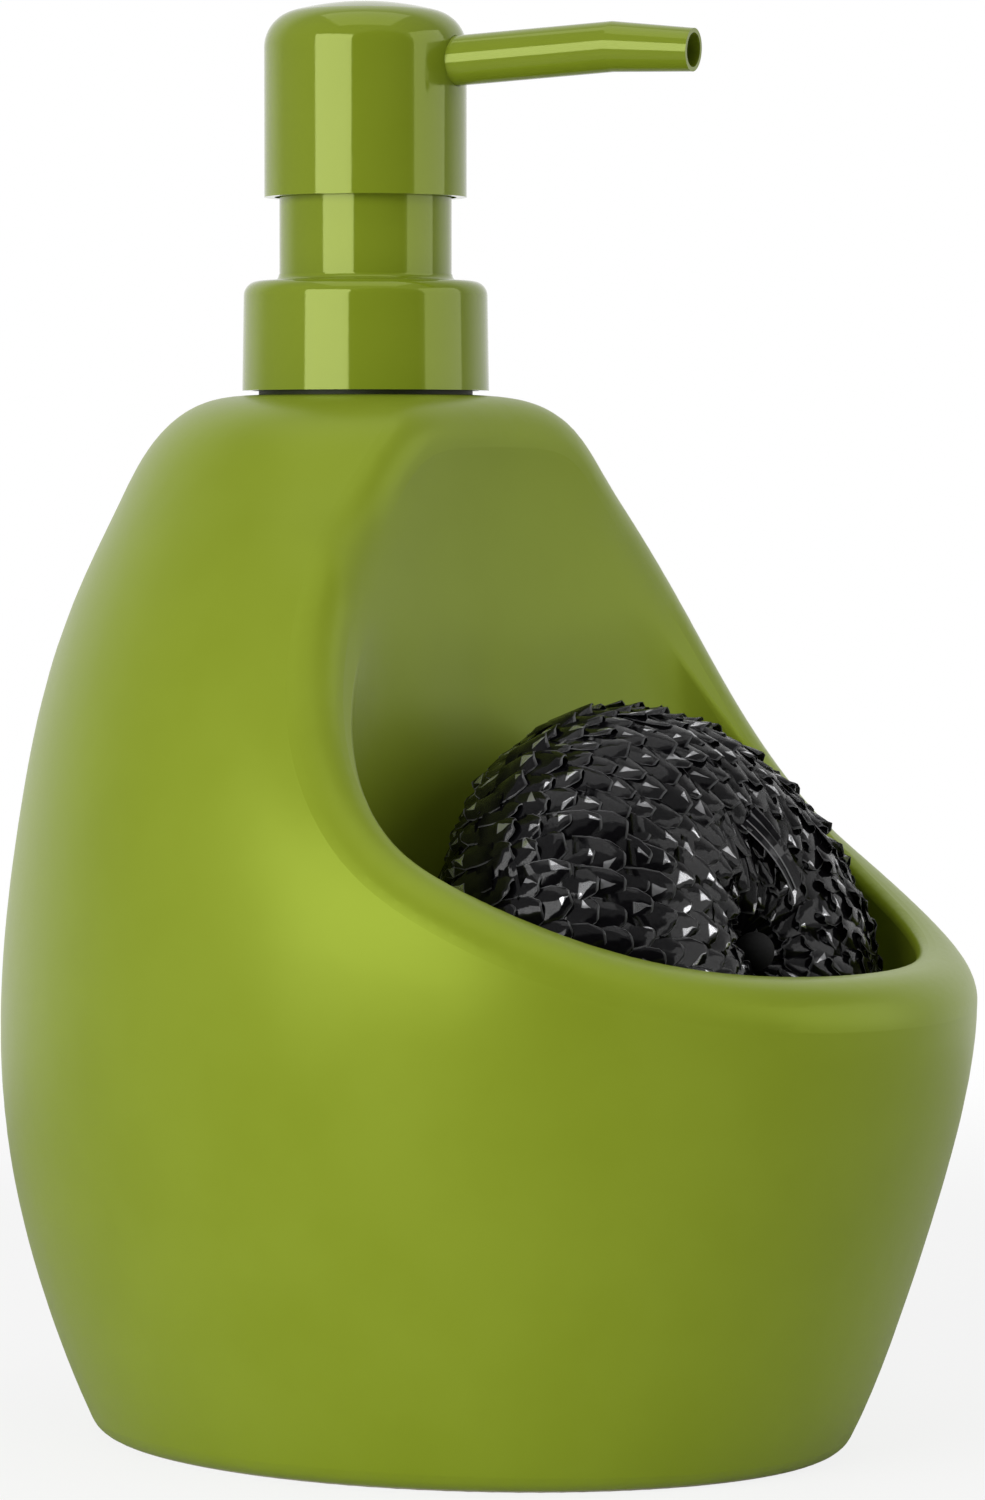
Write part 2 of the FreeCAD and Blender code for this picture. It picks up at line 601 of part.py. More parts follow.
def return_spring():
    bottom = CAGE_TOP + SPRING_WIRE_RADIUS + SEAT_GAP
    top = PLUG_FLANGE_BOTTOM - SPRING_WIRE_RADIUS - SEAT_GAP
    quarters = SPRING_TURNS * 4
    climb = (top - bottom) / (SPRING_TURNS * 2 * math.pi)

    def spot(angle):
        around = FreeCAD.Vector(math.cos(angle), math.sin(angle), 0) * SPRING_COIL_RADIUS
        return around + UP * (bottom + climb * angle)

    def heading(angle):
        along = FreeCAD.Vector(-math.sin(angle), math.cos(angle), 0) * SPRING_COIL_RADIUS
        return (along + UP * climb).normalize()

    angles = [quarter * math.pi / 2 for quarter in range(quarters + 1)]
    edges = []
    for here, there in zip(angles, angles[1:]):
        edges += biarc(spot(here), heading(here), spot(there), heading(there))
    section = Part.Wire([Part.makeCircle(SPRING_WIRE_RADIUS, spot(0), heading(0))])
    least_gap = min((spot(angle + 2 * math.pi) - spot(angle)).Length for angle in angles[:-4])
    print("spring's least gap to itself", round(least_gap - 2 * SPRING_WIRE_RADIUS, 2), "mm")
    return Part.Wire(edges).makePipeShell([section], True, False)


def nozzle_path():
    """Root, bend and tip of the nozzle's axis, before the head is turned to its heading."""
    rise = math.tan(math.radians(NOZZLE_RISE_DEG))
    drop = math.tan(math.radians(NOZZLE_DROP_DEG))
    root = at(NOZZLE_ROOT_FORWARD, NOZZLE_HEIGHT - (HEAD_RADIUS - NOZZLE_ROOT_FORWARD) * rise)
    bend_height = NOZZLE_HEIGHT + (NOZZLE_BEND_FORWARD - HEAD_RADIUS) * rise
    tip = at(NOZZLE_REACH, bend_height - (NOZZLE_REACH - NOZZLE_BEND_FORWARD) * drop)
    return root, at(NOZZLE_BEND_FORWARD, bend_height), tip


def nozzle_form(inset, overrun):
    """The nozzle's outer form, or with an inset its bore, run out at both ends by the overrun."""
    root, bend, tip = nozzle_path()
    inward = FreeCAD.Vector(root - bend).normalize() * overrun
    outward = FreeCAD.Vector(tip - bend).normalize()
    root_run = rod(NOZZLE_RADIUS - inset, root + inward, bend)
    elbow = Part.makeSphere(NOZZLE_RADIUS - inset, bend)
    tip_run = Part.makeCone(
        NOZZLE_RADIUS - inset, NOZZLE_TIP_RADIUS - inset, (tip - bend).Length, bend, outward
    )
    form = root_run.fuse(elbow).fuse(tip_run)
    if overrun > 0:
        form = form.fuse(rod(NOZZLE_TIP_RADIUS - inset, tip, tip + outward * overrun))
    return form


def headed(solid):
    """A piece of the head, turned about the pump axis to the nozzle's heading."""
    solid.rotate(ORIGIN, UP, NOZZLE_HEADING_DEG)
    return solid


def nozzle_tube():
    return headed(nozzle_form(0, 0).cut(nozzle_form(NOZZLE_WALL, CUT_OVERRUN)).removeSplitter())


def dome(radius, edge_radius, bottom, top):
    """A round cap with a rounded edge that runs smoothly into a domed top."""
    slope = math.radians(HEAD_CROWN_DEG)
    flat_radius = radius - edge_radius
    crown_radius = flat_radius / math.sin(slope) + edge_radius
    wall_top = top - edge_radius * math.cos(slope) - crown_radius * (1 - math.cos(slope))

    def edge_spot(angle):
        around = flat_radius + edge_radius * math.sin(angle)
        return FreeCAD.Vector(around, 0, wall_top + edge_radius * math.cos(angle))

    def crown_spot(angle):
        fall = crown_radius * (1 - math.cos(angle))
        return FreeCAD.Vector(crown_radius * math.sin(angle), 0, top - fall)

    wall_angle = math.pi / 2
    foot = FreeCAD.Vector(radius, 0, bottom)
    outline = [
        Part.makeLine(at(0, bottom), foot),
        Part.makeLine(foot, edge_spot(wall_angle)),
        Part.Arc(edge_spot(wall_angle), edge_spot((wall_angle + slope) / 2), edge_spot(slope)).toShape(),
        Part.Arc(crown_spot(slope), crown_spot(slope / 2), at(0, top)).toShape(),
        Part.makeLine(at(0, top), at(0, bottom)),
    ]
    return Part.Face(Part.Wire(outline)).revolve(ORIGIN, UP, 360)


def nozzle_hole():
    """The way for the nozzle through the head's shell and core."""
    root, bend, _ = nozzle_path()
    return rod(NOZZLE_RADIUS + SEAT_GAP, root, bend)


def head_shell():
    outer = dome(HEAD_RADIUS, HEAD_EDGE_RADIUS, HEAD_BOTTOM, HEAD_TOP)
    inner = dome(HEAD_BORE_RADIUS, HEAD_EDGE_RADIUS - HEAD_WALL, HEAD_BOTTOM - CUT_OVERRUN, HEAD_TOP - HEAD_WALL)
    return headed(outer.cut(inner).cut(nozzle_hole()))


def actuator_core():
    block_radius = HEAD_BORE_RADIUS - SEAT_GAP
    post_sag = HEAD_WALL + CORE_POST_RADIUS * math.tan(math.radians(HEAD_CROWN_DEG)) / 2
    block = Part.makeCylinder(block_radius, CORE_BLOCK_HEIGHT, at(0, CORE_BLOCK_BOTTOM), UP)
    block = block.makeFillet(CORE_BLOCK_EDGE_RADIUS, round_edges(block, block_radius, CORE_BLOCK_TOP))
    boss = rod(CORE_BOSS_RADIUS, at(0, CORE_BOSS_BOTTOM), at(0, CORE_BLOCK_BOTTOM))
    post = rod(CORE_POST_RADIUS, at(0, CORE_BLOCK_TOP), at(0, HEAD_TOP - post_sag))
    root, _, _ = nozzle_path()
    socket = rod(STEM_RADIUS + SEAT_GAP, at(0, CORE_BOSS_BOTTOM - CUT_OVERRUN), at(0, STEM_TOP))
    riser = rod(STEM_BORE_RADIUS, at(0, STEM_TOP), at(0, root.z))
    crossway = rod(STEM_BORE_RADIUS, at(0, root.z), root)
    core = block.fuse(boss).fuse(post)
    return headed(core.cut(socket).cut(riser.fuse(crossway)).cut(nozzle_hole()))


def puff_form():
    """The puff lying flat about the origin, with a dimple on each face."""
    upper = [
        FreeCAD.Vector(SCRUBBER_RADIUS * out, 0, SCRUBBER_HALF_THICKNESS * up)
        for out, up in SCRUBBER_PROFILE_SHARES
    ]
    lower = [FreeCAD.Vector(spot.x, 0, -spot.z) for spot in reversed(upper[:-1])]
    curve = Part.BSplineCurve()
    curve.interpolate(upper + lower)
    outline = Part.Wire([curve.toShape(), Part.makeLine(lower[-1], upper[0])])
    return Part.Face(outline).revolve(ORIGIN, UP, 360)


def in_pocket(solid):
    """A piece of the scrubber, tipped back and set down in the pocket."""
    across = FreeCAD.Vector(1, 0, 0)
    tip = 90 - SCRUBBER_TILT_DEG
    puff = puff_form()
    puff.rotate(ORIGIN, across, tip)
    box = puff.optimalBoundingBox()
    rear_forward = max(-spot.y for spot in rear_wall() if spot.z > LIP_HEIGHT)
    solid.rotate(ORIGIN, across, tip)
    solid.translate(at(rear_forward + SCRUBBER_REAR_GAP + box.YMax, POCKET_FLOOR_HEIGHT + FREE_GAP - box.ZMin))
    return solid


def knot_height():
    """The middle of each knot, above and below the puff's middle, where it seats in its dimple."""
    return SCRUBBER_HALF_THICKNESS * SCRUBBER_PROFILE_SHARES[0][1] + TIE_KNOT_RADIUS


def scrubber():
    way = knot_height() * UP
    return in_pocket(puff_form().cut(rod(TIE_RADIUS + SEAT_GAP, -way, way)))


def scrubber_tie():
    way = knot_height() * UP
    tie = rod(TIE_RADIUS, -way, way)
    for end in (-way, way):
        tie = tie.fuse(Part.makeSphere(TIE_KNOT_RADIUS, end))
    return in_pocket(tie)


PIECES = [
    ceramic_body,
    neck_adapter,
    neck_gasket,
    closure_ring,
    collar_shell,
    sleeve,
    chaplet,
    pump_housing,
    ball_cage,
    inlet_ball,
    dip_tube,
    return_spring,
    valve_plug,
    piston,
    stem,
    actuator_core,
    head_shell,
    nozzle_tube,
    scrubber,
    scrubber_tie,
]

os.makedirs("parts", exist_ok=True)
for make in PIECES:
    shape = make()
    print(make.__name__, "valid" if shape.isValid() else "NOT VALID", len(shape.Solids), round(shape.Volume, 1))
    shape.exportStep("parts/" + make.__name__ + ".step")
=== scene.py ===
import json
import math
import random

import bmesh
import bpy
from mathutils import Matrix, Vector


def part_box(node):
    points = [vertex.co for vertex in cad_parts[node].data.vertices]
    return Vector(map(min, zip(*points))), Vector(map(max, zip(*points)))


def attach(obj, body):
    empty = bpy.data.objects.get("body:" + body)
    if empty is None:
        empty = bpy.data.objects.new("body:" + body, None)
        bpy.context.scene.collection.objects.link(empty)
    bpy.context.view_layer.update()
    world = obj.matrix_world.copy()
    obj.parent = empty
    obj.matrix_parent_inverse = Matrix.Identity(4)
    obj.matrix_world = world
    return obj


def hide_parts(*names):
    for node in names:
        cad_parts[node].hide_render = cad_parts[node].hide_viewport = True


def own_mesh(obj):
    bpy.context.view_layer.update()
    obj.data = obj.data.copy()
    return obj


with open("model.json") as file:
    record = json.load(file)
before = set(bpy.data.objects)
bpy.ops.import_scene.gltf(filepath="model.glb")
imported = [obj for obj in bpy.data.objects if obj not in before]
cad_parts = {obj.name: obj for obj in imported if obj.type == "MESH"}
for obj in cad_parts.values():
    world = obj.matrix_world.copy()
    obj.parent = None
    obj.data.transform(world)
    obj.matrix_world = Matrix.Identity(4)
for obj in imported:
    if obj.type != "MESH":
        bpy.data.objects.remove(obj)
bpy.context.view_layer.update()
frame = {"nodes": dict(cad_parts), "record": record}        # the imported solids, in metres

nodes = frame["nodes"]
print("frame loaded:", len(nodes), "nodes")


# Shader maths as Python expressions

class Wire:
    def __init__(self, finish, socket):
        self.finish = finish
        self.socket = socket

    def calc(self, operation, *values):
        return self.finish.node("ShaderNodeMath", {"operation": operation}, values)

    def __add__(self, other):
        return self.calc("ADD", self, other)

    def __sub__(self, other):
        return self.calc("SUBTRACT", self, other)

    def __rsub__(self, other):
        return self.calc("SUBTRACT", other, self)

    def __mul__(self, other):
        return self.calc("MULTIPLY", self, other)

    def __truediv__(self, other):
        return self.calc("DIVIDE", self, other)

    def __rtruediv__(self, other):
        return self.calc("DIVIDE", other, self)

    def __lt__(self, other):
        return self.calc("LESS_THAN", self, other)

    def __gt__(self, other):
        return self.calc("GREATER_THAN", self, other)

    def __abs__(self):
        return self.calc("ABSOLUTE", self)

    __radd__ = __add__
    __rmul__ = __mul__

    def fraction(self):
        return self.calc("FRACT", self)

    def larger(self, other):
        return self.calc("MAXIMUM", self, other)

    # a share from 0 to 1 as a value between two ends
    def between(self, low, high):
        return self * (high - low) + low

    # a noise as a swing about zero
    def swing(self, size):
        return (self - 0.5) * size


# one node of any tree: its settings first, then the values or links of its sockets
def addNode(tree, kind, settings, inputs):
    made = tree.nodes.new(kind)
    for name, value in (settings or {}).items():
        setattr(made, name, value)
    pairs = inputs.items() if isinstance(inputs, dict) else enumerate(inputs)
    for key, value in pairs:
        source = value.socket if isinstance(value, Wire) else value
        if isinstance(source, bpy.types.NodeSocket):
            tree.links.new(source, made.inputs[key])
        else:
            made.inputs[key].default_value = source
    return made


class Finish:
    def __init__(self, tree):
        self.tree = tree
        self.tree.nodes.clear()

    def node(self, kind, settings=None, inputs=(), out=0):
        made = addNode(self.tree, kind, settings, inputs)
        return Wire(self, made.outputs[out]) if made.outputs else None

    def place(self):
        return self.node("ShaderNodeTexCoord", out="Object")

    def along(self, axis):
        return self.node("ShaderNodeSeparateXYZ", {}, {"Vector": self.place()}, out=axis)

    def attribute(self, name):
        return self.node("ShaderNodeAttribute", {"attribute_name": name}, out="Fac")

    def ray(self, kind):
        return self.node("ShaderNodeLightPath", out="Is %s Ray" % kind)

    def noise(self, scale, detail, stretch=(1, 1, 1)):
        spot = self.node("ShaderNodeMapping", {}, {"Vector": self.place(), "Scale": stretch})
        return self.node("ShaderNodeTexNoise", {}, {"Vector": spot, "Scale": scale, "Detail": detail})

    def mix(self, kind, share, low, high):
        sockets = {"Factor": share, "A": low, "B": high}
        return self.node("ShaderNodeMix", {"data_type": kind}, sockets, out="Result")

    def blend(self, share, low, high):
        return self.mix("RGBA", share, low, high)

    def ease(self, value, start, end):
        settings = {"interpolation_type": "SMOOTHSTEP"}
        sockets = {"Value": value, "From Min": start, "From Max": end}
        return self.node("ShaderNodeMapRange", settings, sockets)

    def bump(self, height, distance, strength, **sockets):
        values = {"Height": height, "Distance": distance, "Strength": strength, **sockets}
        return self.node("ShaderNodeBump", {}, values)

    def surface(self, sockets):
        self.output(self.node("ShaderNodeBsdfPrincipled", {}, sockets))

    def output(self, shader, kind="ShaderNodeOutputMaterial"):
        self.node(kind, {}, {"Surface": shader})


def newFinish(name):
    material = bpy.data.materials.new(name)
    material.use_nodes = True
    return material, Finish(material.node_tree)


def shade(level):
    return (level, level, level, 1)


# Finishes: a noise is given by its scale, detail and stretch, a bump by its distance and strength

glaze = {
    "colour": (0.250, 0.322, 0.024, 1),
    "deep": (0.230, 0.298, 0.018, 1),
    "sheen": (0.78, 1.00, 0.16, 1),      # tint of the reflections
    "bisque": (0.60, 0.56, 0.47, 1),     # bare clay under the foot
    "footHeight": 0.0003,
    "ior": 1.6,
    "roughness": 0.34,
    "clouds": (38.0, 3.0),
    "cloudRange": (0.3, 0.7),
    "cloudRoughness": 0.08,
    "specks": (2600.0, 1.0),
    "speckRoughness": 0.06,
    "bareRoughness": 0.4,
    "peel": (420.0, 2.0),
    "peelBump": (0.000025, 0.3),
    "speckBumpShare": 0.3,
}
# the soft run from the panel into the pocket's rear wall
panelRun = {
    "radius": 0.011,
    "halfWidth": 0.034,
    "heights": (0.094, 0.126),
    "rearLimit": -0.014,
    "samples": 4,
}


# rounded shading in that run, and the true surface everywhere else
def panelNormal(f):
    low, high = panelRun["heights"]
    margin = panelRun["radius"] / 2
    height = f.along("Z")
    inside = f.ease(abs(f.along("X")), panelRun["halfWidth"] + margin, panelRun["halfWidth"])
    above = f.ease(height, low - margin, low + margin)
    below = f.ease(height, high + margin, high - margin)
    near = inside * above * below * (f.along("Y") < panelRun["rearLimit"])
    true = f.node("ShaderNodeNewGeometry", out="Normal")
    soft = f.node("ShaderNodeBevel", {"samples": panelRun["samples"]}, {"Radius": panelRun["radius"]})
    return f.mix("VECTOR", near, true, soft)


def greenGlaze():
    material, f = newFinish("greenGlaze")
    clouds = f.noise(*glaze["clouds"])
    specks = f.noise(*glaze["specks"])
    foot = f.ease(f.along("Z"), glaze["footHeight"] * 2, glaze["footHeight"])
    tone = f.blend(f.ease(clouds, *glaze["cloudRange"]), glaze["deep"], glaze["colour"])
    uneven = clouds.swing(glaze["cloudRoughness"]) + specks.swing(glaze["speckRoughness"])
    peel = f.noise(*glaze["peel"]) + specks * glaze["speckBumpShare"]
    f.surface({
        "Base Color": f.blend(foot, tone, glaze["bisque"]),
        "Roughness": glaze["roughness"] + uneven + foot * glaze["bareRoughness"],
        "Normal": f.bump(peel, *glaze["peelBump"], Normal=panelNormal(f)),
        "IOR": glaze["ior"],
        "Specular Tint": glaze["sheen"],
    })
    return material


gloss = {
    "colour": (0.226, 0.294, 0.020, 1),
    "deep": (0.212, 0.278, 0.016, 1),
    "sheen": (0.88, 1.00, 0.38, 1),
    "ior": 1.62,
    "roughness": 0.06,
    "clouds": (120.0, 3.0),
    "cloudRoughness": 0.02,
    "dust": (1800.0, 2.0),
    "dustRange": (0.55, 0.75),
    "dustRoughness": 0.04,
    "peel": (300.0, 1.0),
    "peelBump": (0.000012, 0.3),
}


def greenGloss():
    material, f = newFinish("greenGloss")
    clouds = f.noise(*gloss["clouds"])
    dust = f.ease(f.noise(*gloss["dust"]), *gloss["dustRange"])
    uneven = clouds * gloss["cloudRoughness"] + dust * gloss["dustRoughness"]
    f.surface({
        "Base Color": f.blend(clouds, gloss["deep"], gloss["colour"]),
        "Roughness": gloss["roughness"] + uneven,
        "Normal": f.bump(f.noise(*gloss["peel"]), *gloss["peelBump"]),
        "IOR": gloss["ior"],
        "Specular Tint": gloss["sheen"],
    })
    return material


moulded = {
    "naturalPlastic": {"low": (0.74, 0.74, 0.70, 1), "high": (0.82, 0.82, 0.78, 1), "roughness": 0.42},
    "tubePlastic": {"low": (0.76, 0.79, 0.79, 1), "high": (0.86, 0.88, 0.88, 1), "roughness": 0.25},
    "sealRubber": {"low": (0.60, 0.60, 0.57, 1), "high": (0.72, 0.72, 0.69, 1), "roughness": 0.65},
}
mould = {
    "flow": (150.0, 3.0, (1, 1, 0.25)),      # drawn out along the mould
    "grain": (3000.0, 2.0),
    "grainRoughness": 0.12,
    "grainBump": (0.00002, 0.3),
}


def mouldedPlastic(name):
    material, f = newFinish(name)
    values = moulded[name]
    grain = f.noise(*mould["grain"])
    f.surface({
        "Base Color": f.blend(f.noise(*mould["flow"]), values["low"], values["high"]),
        "Roughness": values["roughness"] + grain.swing(mould["grainRoughness"]),
        "Normal": f.bump(grain, *mould["grainBump"]),
    })
    return material


# painted shade: the dark green that the flange is painted with, in the gap under the collar
flangeShade = {
    "colour": (0.034, 0.044, 0.007, 1),
    "top": 0.1428,
    "fade": 0.0003,
    "flowRoughness": 0.1,
    "shadedBandRoughness": 0.15,
}


# painted shade: the neck adapter's flange, in the gap under the collar, is painted dark green, and its neck
# keeps the plastic's own colour
def shadedFlangePlastic():
    material, f = newFinish("shadedFlangePlastic")
    values = moulded["naturalPlastic"]
    flow = f.noise(*mould["flow"])
    shadedBand = f.ease(f.along("Z"), flangeShade["top"] + flangeShade["fade"], flangeShade["top"])
    uneven = flow.swing(flangeShade["flowRoughness"]) + shadedBand * flangeShade["shadedBandRoughness"]
    f.surface({
        # painted shade: the band below the top is dark green, the rest keeps the plastic's own tone
        "Base Color": f.blend(shadedBand, f.blend(flow, values["low"], values["high"]), flangeShade["colour"]),
        "Roughness": values["roughness"] + uneven,
    })
    return material


steel = {
    "colour": (0.62, 0.62, 0.63, 1),
    "dark": (0.48, 0.48, 0.50, 1),
    "roughness": 0.18,
    "drawn": (900.0, 2.0, (1, 1, 0.2)),
    "drawnRoughness": 0.12,
}


def springSteel():
    material, f = newFinish("springSteel")
    drawn = f.noise(*steel["drawn"])
    f.surface({
        "Base Color": f.blend(drawn, steel["dark"], steel["colour"]),
        "Roughness": steel["roughness"] + drawn * steel["drawnRoughness"],
        "Metallic": 1.0,
    })
    return material


ribbon = {
    "black": (0.004, 0.004, 0.005, 1),
    "smoke": (0.012, 0.011, 0.013, 1),
    "edge": (0.30, 0.30, 0.31, 1),       # painted highlight: light grey for the light that runs out at the ribbon's cut edge
    "ior": 1.5,
    "roughness": 0.06,
    "drawn": (520.0, 2.0),
    "drawnRoughness": 0.06,
    "edgeRoughness": 0.25,
    "crinkle": (900.0, 2.0),
    "crinkleBump": (0.00008, 0.25),
}
# a wedge of light on a loop; lengths are shares of the loop's, widths of its half width
glint = {
    "colour": (0.95, 0.95, 0.97, 1),
    "dullShare": 0.36,                          # of the loops, which have no glint
    "drawTurns": (37.0, 53.0, 71.0, 97.0),      # each turns a loop's tone into another draw
    "starts": (0.55, 0.90),
    "lengths": (0.10, 0.36),
    "halfWidths": (0.12, 0.42),
    "slant": 5.0,
    "shift": 1.2,
    "tipFade": (1.0, 0.75),
    "rootFade": (-0.35, -0.2),
    "strengths": (0.6, 1.0),
}


# the wedge has a different spot, slant and size on each loop
def loopGlint(f):
    tone = f.attribute("loopTone")
    side, start, width, length = [(tone * turns).fraction() for turns in glint["drawTurns"]]
    lean = side - 0.5
    along = f.attribute("ribbonAlong") - start.between(*glint["starts"])
    slant = f.attribute("ribbonAcross") + along * lean * glint["slant"] - lean * glint["shift"]
    across = abs(slant) / width.between(*glint["halfWidths"])
    ahead = along / length.between(*glint["lengths"])
    wedge = f.ease(across + ahead, *glint["tipFade"]) * f.ease(ahead, *glint["rootFade"])
    return wedge * start.between(*glint["strengths"]) * (tone > glint["dullShare"])


def blackRibbon():
    material, f = newFinish("blackRibbon")
    edge = f.attribute("ribbonEdge")
    drawn = f.noise(*ribbon["drawn"])
    lit = loopGlint(f)
    body = f.blend(drawn, ribbon["black"], ribbon["smoke"])
    uneven = drawn * ribbon["drawnRoughness"] + edge * ribbon["edgeRoughness"]
    f.surface({
        # the cut edge is painted light grey, a painted highlight
        "Base Color": f.blend(edge, f.blend(lit, body, glint["colour"]), ribbon["edge"]),
        "Roughness": ribbon["roughness"] + uneven,
        "Metallic": lit * (1 - edge),
        "Normal": f.bump(f.noise(*ribbon["crinkle"]), *ribbon["crinkleBump"]),
        "IOR": ribbon["ior"],
    })
    return material


thread = {
    "black": (0.003, 0.003, 0.003, 1),
    "worn": (0.009, 0.009, 0.009, 1),
    "ior": 1.36,
    "roughness": 0.75,
    "strands": (1400.0, 2.0, (1, 0.3, 1)),      # drawn out along the tie
    "strandRoughness": 0.15,
    "strandBump": (0.0001, 0.6),
}


def blackThread():
    material, f = newFinish("blackThread")
    strands = f.noise(*thread["strands"])
    f.surface({
        "Base Color": f.blend(strands, thread["black"], thread["worn"]),
        "Roughness": thread["roughness"] + strands * thread["strandRoughness"],
        "Normal": f.bump(strands, *thread["strandBump"]),
        "IOR": thread["ior"],
    })
    return material


finishes = {
    "green_glaze": greenGlaze(),
    "green_gloss": greenGloss(),
    "natural_plastic": mouldedPlastic("naturalPlastic"),
    "tube_plastic": mouldedPlastic("tubePlastic"),
    "seal_rubber": mouldedPlastic("sealRubber"),
    "spring_steel": springSteel(),
    "black_mesh": blackRibbon(),
}


def dress(piece, material):
    piece.data.materials.clear()
    piece.data.materials.append(material)


for row in frame["record"]["subparts"]:
    dress(nodes[row["node"]], finishes[row["material_slot"]])
dress(nodes["neck_adapter"], shadedFlangePlastic())
dress(nodes["scrubber_tie"], blackThread())
print("finishes on", len(nodes), "nodes")


# Geometry nodes

class Growth:
    def __init__(self, name, sockets):
        self.tree = bpy.data.node_groups.new(name, "GeometryNodeTree")
        self.tree.is_modifier = True
        ends = self.tree.interface
        for side in ("INPUT", "OUTPUT"):
            ends.new_socket("Geometry", in_out=side, socket_type="NodeSocketGeometry")
        for label, kind in sockets.items():
            ends.new_socket(label, in_out="INPUT", socket_type="NodeSocket" + kind)
        self.entry = self.tree.nodes.new("NodeGroupInput")

    def given(self, label):
        return self.entry.outputs[label]

    def add(self, kind, settings=None, inputs=(), out=0):
        made = addNode(self.tree, kind, settings, inputs)
        return made.outputs[out] if out is not None else made

    def times(self, value, factor):
        return self.add("ShaderNodeMath", {"operation": "MULTIPLY"}, [value, factor])

    def vector(self, operation, *values):
        return self.add("ShaderNodeVectorMath", {"operation": operation}, values)

    def scaled(self, vector, factor):
        sockets = {"Vector": vector, "Scale": factor}
        return self.add("ShaderNodeVectorMath", {"operation": "SCALE"}, sockets)

    def position(self):
        return self.add("GeometryNodeInputPosition")

    def separate(self, vector):
        return self.add("ShaderNodeSeparateXYZ", {}, [vector], out=None).outputs

    def combine(self, **axes):
        return self.add("ShaderNodeCombineXYZ", {}, axes)

    # a random value for each point; every draw has the same seed
    def chance(self, kind, **ends):
        sockets = {**ends, "Seed": self.given("Seed")}
        return self.add("FunctionNodeRandomValue", {"data_type": kind}, sockets, out="Value")

    def circle(self, sides, radius):
        sockets = {"Resolution": sides, "Radius": radius}
        return self.add("GeometryNodeCurvePrimitiveCircle", {"mode": "RADIUS"}, sockets)

    # points at even steps along a curve, as the node, since its tangents are used too
    def beads(self, curve, step):
        even = self.add("GeometryNodeResampleCurve", {"mode": "LENGTH"}, {"Curve": curve, "Length": step})
        return self.add("GeometryNodeCurveToPoints", {"mode": "EVALUATED"}, {"Curve": even}, out=None)

    def finish(self, geometry):
        whole = self.add("GeometryNodeRealizeInstances", {}, [geometry])
        sockets = {"Geometry": whole, "Material": self.given("Material")}
        painted = self.add("GeometryNodeSetMaterial", {}, sockets)
        self.add("NodeGroupOutput", {}, [painted], out=None)
        return self.tree


# what a tree grows on a holder, as a mesh
def bakeTree(data, tree, values):
    holder = bpy.data.objects.new("holder", data)
    bpy.context.scene.collection.objects.link(holder)
    modifier = holder.modifiers.new("grow", "NODES")
    modifier.node_group = tree
    for item in tree.interface.items_tree:
        if item.in_out == "INPUT" and item.name in values:
            modifier[item.identifier] = values[item.name]
    evaluated = holder.evaluated_get(bpy.context.evaluated_depsgraph_get())
    mesh = bpy.data.meshes.new_from_object(evaluated)
    bpy.data.objects.remove(holder)
    return mesh


# Scrubber: rows of ribbon loops, laid like scales over a puff that is gathered at its middle

puff = {
    "tilt": math.radians(20),       # how far the front face looks up
    "radius": 0.0380,
    "halfThickness": 0.0188,
    "rise": 0.0006,                 # how far the whole puff is set above its solid's middle
    # the puff's half profile, as shares of its radius and half thickness
    "profileShares": [
        (0.07, 0.42), (0.13, 0.76), (0.24, 0.94), (0.42, 1.00), (0.66, 0.89), (0.88, 0.56), (1.00, 0.00),
    ],
    "profileOrder": 3,
    "profileSteps": 12,
    "pleatRadii": (0.004, 0.012),   # where the loops run from pleats to their full width
    "pleatWidthShare": 0.36,
    "hoopSides": 128,
}
loops = {
    "kinds": 8,
    "width": 0.0054,
    "length": 0.0062,
    "thickness": 0.00012,
    "columnShares": (-1.0, -0.9, -0.4, 0.4, 0.9, 1.0),
    "rowShares": (0.0, 0.35, 0.70, 0.945, 1.0),
    "straightShare": 0.4,   # of the length, with the full width
    "roundShare": 0.63,     # of the length, over which the width would run out
    "bow": 0.00070,         # how far the loop's middle stands up
    "rootBowShare": 0.4,    # of the bow, at the root
    "lift": 0.00036,        # how far its free end stands up
    "twist": 0.00060,
    "kink": 0.00060,
    "kinkStart": 0.5,
    "rowPitch": 0.0033,
    "step": 0.0041,         # from loop to loop along a row
    "tip": math.radians(2.5),
    "tipShares": (-1.0, 1.6),
    "sway": math.radians(13),
    "rollShare": 0.6,       # of the sway
    "smallest": (0.88, 0.88, 0.7),
    "largest": (1.12, 1.12, 1.4),
    "seed": 11,
}


# the puff's profile from one dimple round to the other
def puffCorners(share):
    reach, depth = puff["radius"] * share, puff["halfThickness"] * share
    front = [(reach * out, depth * up) for out, up in puff["profileShares"]]
    return front + [(out, -up) for out, up in reversed(front[:-1])]


def smoothProfile():
    corners = puffCorners(1)
    line = bpy.data.curves.new("puffProfile", "CURVE")
    line.dimensions = "3D"
    line.resolution_u = puff["profileSteps"]
    spline = line.splines.new("NURBS")
    spline.points.add(len(corners) - 1)
    for point, (out, up) in zip(spline.points, corners):
        point.co = (out, 0, up, 1)
    spline.order_u = puff["profileOrder"]
    spline.use_endpoint_u = True
    return line


def loopHalfWidth(v):
    past = max(0.0, (v - loops["straightShare"]) / loops["roundShare"])
    return loops["width"] / 2 * math.sqrt(1 - past ** 2)


